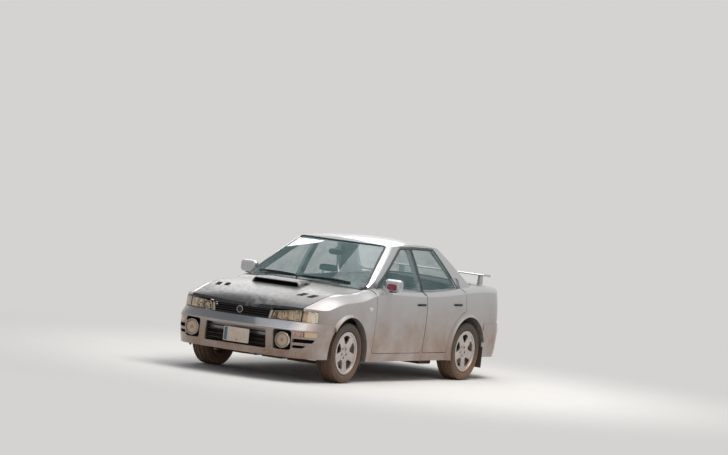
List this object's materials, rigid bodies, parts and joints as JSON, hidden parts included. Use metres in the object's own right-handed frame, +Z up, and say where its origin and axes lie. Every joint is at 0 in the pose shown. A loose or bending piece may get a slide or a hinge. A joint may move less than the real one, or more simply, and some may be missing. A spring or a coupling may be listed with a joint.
{
  "type": "rally saloon car",
  "caption": "Rally saloon with opening doors, bonnet and boot lid, steered front wheels and rolling road wheels.",
  "frame": {"origin": "on the floor, at the middle of the car's length and width", "axes": "+X to the front, +Y to the car's left, +Z up"},
  "size_m": [4.3398, 1.914, 1.4248],
  "materials": {
    "silver_paint": "satin",
    "floor_paint": "satin",
    "screen_glass": "clear",
    "lamp_glass": "clear",
    "tail_glass": "gloss",
    "black_plastic": "matte",
    "dash_plastic": "matte",
    "seat_fabric": "woven",
    "alloy": "satin",
    "tyre": "matte",
    "rubber": "matte",
    "disc_iron": "worn",
    "chassis_iron": "worn",
    "engine_metal": "cast",
    "exhaust_steel": "worn",
    "tank_plastic": "matte"
  },
  "bodies": {
    "body": {"body_side_left": "silver_paint", "body_side_right": "silver_paint", "roof_panel": "silver_paint", "front_fenders": "silver_paint", "rear_panel": "silver_paint", "parcel_shelf": "dash_plastic", "bulkhead": "floor_paint", "floor_pan": "floor_paint", "front_structure": "floor_paint", "front_bumper": "silver_paint", "front_apron_left": "floor_paint", "front_apron_right": "floor_paint", "rear_bumper": "silver_paint", "grilles": "black_plastic", "turn_lamps": "lamp_glass", "headlamps": "lamp_glass", "fog_lamps": "lamp_glass", "tail_lamps": "tail_glass", "windscreen": "screen_glass", "rear_window": "screen_glass", "dashboard": "dash_plastic", "front_seats": "seat_fabric", "rear_bench": "seat_fabric", "engine": "engine_metal", "radiator": "black_plastic", "driveline": "engine_metal", "exhaust": "exhaust_steel", "fuel_tank": "tank_plastic", "front_subframe": "chassis_iron", "rear_suspension": "chassis_iron", "mud_flaps": "rubber", "wipers": "black_plastic"},
    "front_door_left": {"front_door_left": "silver_paint", "front_door_glass_left": "screen_glass", "door_mirror_left": "silver_paint"},
    "rear_door_left": {"rear_door_left": "silver_paint", "rear_door_glass_left": "screen_glass"},
    "front_door_right": {"front_door_right": "silver_paint", "front_door_glass_right": "screen_glass", "door_mirror_right": "silver_paint"},
    "rear_door_right": {"rear_door_right": "silver_paint", "rear_door_glass_right": "screen_glass"},
    "bonnet": {"bonnet": "silver_paint"},
    "boot_lid": {"boot_lid": "silver_paint", "boot_spoiler": "silver_paint"},
    "steering_wheel": {"steering_wheel": "dash_plastic"},
    "knuckle_left": {"knuckle_left": "chassis_iron"},
    "knuckle_right": {"knuckle_right": "chassis_iron"},
    "front_wheel_left": {"wheel_front_left": "alloy", "tyre_front_left": "tyre", "brake_disc_front_left": "disc_iron"},
    "front_wheel_right": {"wheel_front_right": "alloy", "tyre_front_right": "tyre", "brake_disc_front_right": "disc_iron"},
    "rear_wheel_left": {"wheel_rear_left": "alloy", "tyre_rear_left": "tyre", "brake_disc_rear_left": "disc_iron"},
    "rear_wheel_right": {"wheel_rear_right": "alloy", "tyre_rear_right": "tyre", "brake_disc_rear_right": "disc_iron"}
  },
  "joints": [
    {"name": "front_door_left_hinge", "type": "hinge", "parent": "body", "child": "front_door_left", "pos_m": [0.788, 0.838, 0.6], "axis": [0, 0, -1], "range_deg": [0, 65]},
    {"name": "rear_door_left_hinge", "type": "hinge", "parent": "body", "child": "rear_door_left", "pos_m": [-0.267, 0.84, 0.6], "axis": [0, 0, -1], "range_deg": [0, 65]},
    {"name": "front_door_right_hinge", "type": "hinge", "parent": "body", "child": "front_door_right", "pos_m": [0.788, -0.838, 0.6], "axis": [0, 0, 1], "range_deg": [0, 65]},
    {"name": "rear_door_right_hinge", "type": "hinge", "parent": "body", "child": "rear_door_right", "pos_m": [-0.267, -0.84, 0.6], "axis": [0, 0, 1], "range_deg": [0, 65]},
    {"name": "bonnet_hinge", "type": "hinge", "parent": "body", "child": "bonnet", "pos_m": [0.895, 0, 0.955], "axis": [0, -1, 0], "range_deg": [0, 55]},
    {"name": "boot_hinge", "type": "hinge", "parent": "body", "child": "boot_lid", "pos_m": [-1.5, 0, 1.024], "axis": [0, 1, 0], "range_deg": [0, 60]},
    {"name": "steer_left", "type": "hinge", "parent": "body", "child": "knuckle_left", "pos_m": [1.31, 0.66, 0.19], "axis": [-0.0191, -0.1834, 0.9829], "range_deg": [-35, 35]},
    {"name": "front_wheel_left_spin", "type": "hinge", "parent": "knuckle_left", "child": "front_wheel_left", "pos_m": [1.31, 0.73, 0.305], "axis": [0, 1, 0], "continuous": true},
    {"name": "rear_wheel_left_spin", "type": "hinge", "parent": "body", "child": "rear_wheel_left", "pos_m": [-1.21, 0.73, 0.305], "axis": [0, 1, 0], "continuous": true},
    {"name": "steer_right", "type": "hinge", "parent": "body", "child": "knuckle_right", "pos_m": [1.31, -0.66, 0.19], "axis": [-0.0191, 0.1834, 0.9829], "range_deg": [-35, 35]},
    {"name": "front_wheel_right_spin", "type": "hinge", "parent": "knuckle_right", "child": "front_wheel_right", "pos_m": [1.31, -0.73, 0.305], "axis": [0, 1, 0], "continuous": true},
    {"name": "rear_wheel_right_spin", "type": "hinge", "parent": "body", "child": "rear_wheel_right", "pos_m": [-1.21, -0.73, 0.305], "axis": [0, 1, 0], "continuous": true},
    {"name": "steering_wheel_turn", "type": "hinge", "parent": "body", "child": "steering_wheel", "pos_m": [0.4, 0.37, 0.86], "axis": [-0.9063, 0, 0.4226], "range_deg": [-504, 504]}
  ],
  "couplings": [
    {"joint": "steer_right", "follows": "steer_left", "ratio": 1},
    {"joint": "steering_wheel_turn", "follows": "steer_left", "ratio": 14.4}
  ]
}
